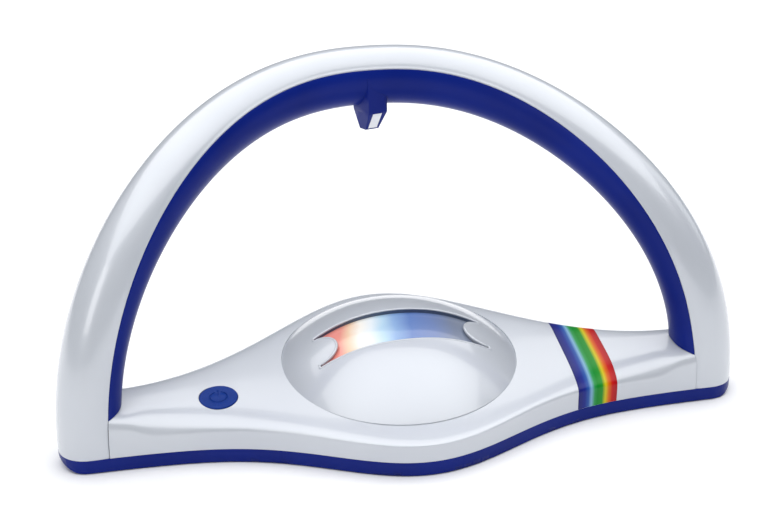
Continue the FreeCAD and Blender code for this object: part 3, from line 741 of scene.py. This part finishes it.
def coilPath():
    # over the arch from foot to foot, then back along the rear of the base
    stops, low = 31, coil["low"]
    places = [coil["start"] + (math.pi - 2 * coil["start"]) * closingUp(i, stops) for i in range(stops)]
    points = [inTube(a, coil["out"], 0) for a in places]
    foot = [(154.0, 0.3, 14.5), (149.5, 0.8, 10.6), (141.0, 3.0, low)]
    rear = [(x, backY(x) - coil["back"] - arch["footY"], low) for x in (126, 110, 94, 78, 62, 46, 30, 15)]
    half = [Vector((-x, arch["footY"] + y, z)) for x, y, z in foot + rear]
    rest = [Vector((-q.x, q.y, q.z)) for q in reversed(half)]
    return points + half + [Vector((0, backY(0) - coil["back"], low))] + rest


def strandTree():
    tree = bpy.data.node_groups.new("twisted_strands", "GeometryNodeTree")
    face = tree.interface
    face.new_socket("Geometry", in_out="INPUT", socket_type="NodeSocketGeometry")
    for name, kind in (("Bundle Radius", "NodeSocketFloat"), ("Strand Radius", "NodeSocketFloat"),
                       ("Strands", "NodeSocketInt"), ("Twist", "NodeSocketFloat"),
                       ("Points", "NodeSocketInt"), ("Material", "NodeSocketMaterial")):
        face.new_socket(name, in_out="INPUT", socket_type=kind)
    face.new_socket("Geometry", in_out="OUTPUT", socket_type="NodeSocketGeometry")
    given = tree.nodes.new("NodeGroupInput").outputs
    path = addNode(tree, "GeometryNodeResampleCurve", {}, {
        "Curve": given["Geometry"], "Count": given["Points"]})
    place = addNode(tree, "GeometryNodeSplineParameter")
    angle = addNode(tree, "ShaderNodeMath", {"operation": "MULTIPLY"}, {
        0: place.outputs["Factor"], 1: given["Twist"]})
    tilted = addNode(tree, "GeometryNodeSetCurveTilt", {}, {
        "Curve": path.outputs["Curve"], "Tilt": angle.outputs["Value"]})
    ring = addNode(tree, "GeometryNodeCurvePrimitiveCircle", {}, {
        "Resolution": 64, "Radius": given["Bundle Radius"]})
    spots = addNode(tree, "GeometryNodeCurveToPoints", {}, {
        "Curve": ring.outputs["Curve"], "Count": given["Strands"]})
    strand = addNode(tree, "GeometryNodeCurvePrimitiveCircle", {}, {
        "Resolution": 10, "Radius": given["Strand Radius"]})
    placed = addNode(tree, "GeometryNodeInstanceOnPoints", {}, {
        "Points": spots.outputs["Points"], "Instance": strand.outputs["Curve"]})
    section = addNode(tree, "GeometryNodeRealizeInstances", {}, {"Geometry": placed.outputs["Instances"]})
    mesh = addNode(tree, "GeometryNodeCurveToMesh", {}, {
        "Curve": tilted.outputs["Curve"], "Profile Curve": section.outputs["Geometry"]})
    whole = addNode(tree, "GeometryNodeRealizeInstances", {}, {"Geometry": mesh.outputs["Mesh"]})
    painted = addNode(tree, "GeometryNodeSetMaterial", {}, {
        "Geometry": whole.outputs["Geometry"], "Material": given["Material"]})
    addNode(tree, "NodeGroupOutput", {}, {"Geometry": painted.outputs["Geometry"]})
    return tree


def antennaWinding():
    curve = bpy.data.curves.new("winding_path", "CURVE")
    curve.dimensions = "3D"
    curve.twist_mode = "Z_UP"
    points = coilPath()
    spline = curve.splines.new("NURBS")
    spline.points.add(len(points) - 1)
    for spot, q in zip(spline.points, points):
        spot.co = (*(q * mm), 1.0)
    spline.use_cyclic_u = True
    spline.order_u = 4
    spline.resolution_u = 8
    winding = linkObject("antenna_strands", curve)
    modifier = addModifier(winding, "NODES", node_group=strandTree())
    values = {"Bundle Radius": coil["bundle"] * mm, "Strand Radius": coil["strand"] * mm,
              "Strands": coil["strands"], "Twist": coil["twists"] * 2 * math.pi,
              "Points": coil["steps"], "Material": finishes["copper_wire"]}
    for item in modifier.node_group.interface.items_tree:
        if item.in_out == "INPUT" and item.name in values:
            modifier[item.identifier] = values[item.name]
    settlePiece(bakeModifiers(winding), 60, "antenna_winding")


antennaWinding()
print("antenna winding made")


# ---- camera, light and floor ----

view = {"place": (-112.7, -541.4, 304.7), "pan": 11.136, "lift": 22.634, "roll": -1.080, "lens": 56.58}


def makeCamera():
    pan, lift, roll = (math.radians(view[k]) for k in ("pan", "lift", "roll"))
    towards = Vector((-math.sin(pan) * math.cos(lift), -math.cos(pan) * math.cos(lift), math.sin(lift)))
    right = (-towards).cross(Vector((0, 0, 1))).normalized()
    up = right.cross(-towards)
    r2 = math.cos(roll) * right + math.sin(roll) * up
    u2 = -math.sin(roll) * right + math.cos(roll) * up
    camera = linkObject("camera", bpy.data.cameras.new("camera"))
    camera.data.lens = view["lens"]
    camera.data.sensor_width = 36.0
    camera.data.clip_start = 0.01
    turn = Matrix((r2, u2, towards)).transposed().to_4x4()
    camera.matrix_world = Matrix.Translation(Vector(view["place"]) * mm) @ turn
    bpy.context.scene.camera = camera


def softBox(name, place, aim, size, power, colour):
    lamp = bpy.data.lights.new(name, "AREA")
    lamp.shape = "RECTANGLE"
    lamp.size, lamp.size_y = size
    lamp.energy = power
    lamp.color = srgb(colour)[:3]
    obj = linkObject(name, lamp)
    obj.location = place
    obj.rotation_euler = (Vector(aim) - Vector(place)).to_track_quat("-Z", "Y").to_euler()


def makeStage():
    size = 6000
    corners = [(-size, -size, 0), (size, -size, 0), (size, size, 0), (-size, size, 0)]
    mat, tree = newMaterial("matt_white_paper")
    coords = addNode(tree, "ShaderNodeTexCoord")
    fibre = addNode(tree, "ShaderNodeTexNoise", {}, {
        "Vector": coords.outputs["Object"], "Scale": 1 / (30 * mm), "Detail": 2.0})
    tint = addNode(tree, "ShaderNodeValToRGB", {}, {"Fac": fibre.outputs["Fac"]})
    setRamp(tint, [(0.3, "#fbfbfc"), (0.7, "#fdfdfd")])
    finishMaterial(tree, addNode(tree, "ShaderNodeBsdfDiffuse", {}, {"Color": tint.outputs["Color"]}))
    meshObject("floor", corners, [(0, 1, 2, 3)], mat)
    world = bpy.data.worlds.new("studio")
    bpy.context.scene.world = world
    world.use_nodes = True
    sky = world.node_tree.nodes["Background"].inputs
    sky["Color"].default_value = srgb("#a9b6cc")
    sky["Strength"].default_value = 0.16


makeCamera()
makeStage()
softBox("overhead", (0.2, 0.5, 2.2), (0.2, 0.5, 0), (4.2, 4.2), 118.0, "#ffffff")
softBox("left_front", (-1.0, -1.0, 0.8), (0, 0, 0.06), (0.5, 0.8), 3.6, "#fffefb")
softBox("right_rim", (1.2, 0.2, 0.6), (0, 0, 0.08), (0.5, 0.8), 1.2, "#fbfcff")
bpy.context.scene.view_settings.view_transform = "Standard"
print("camera, light and floor set")
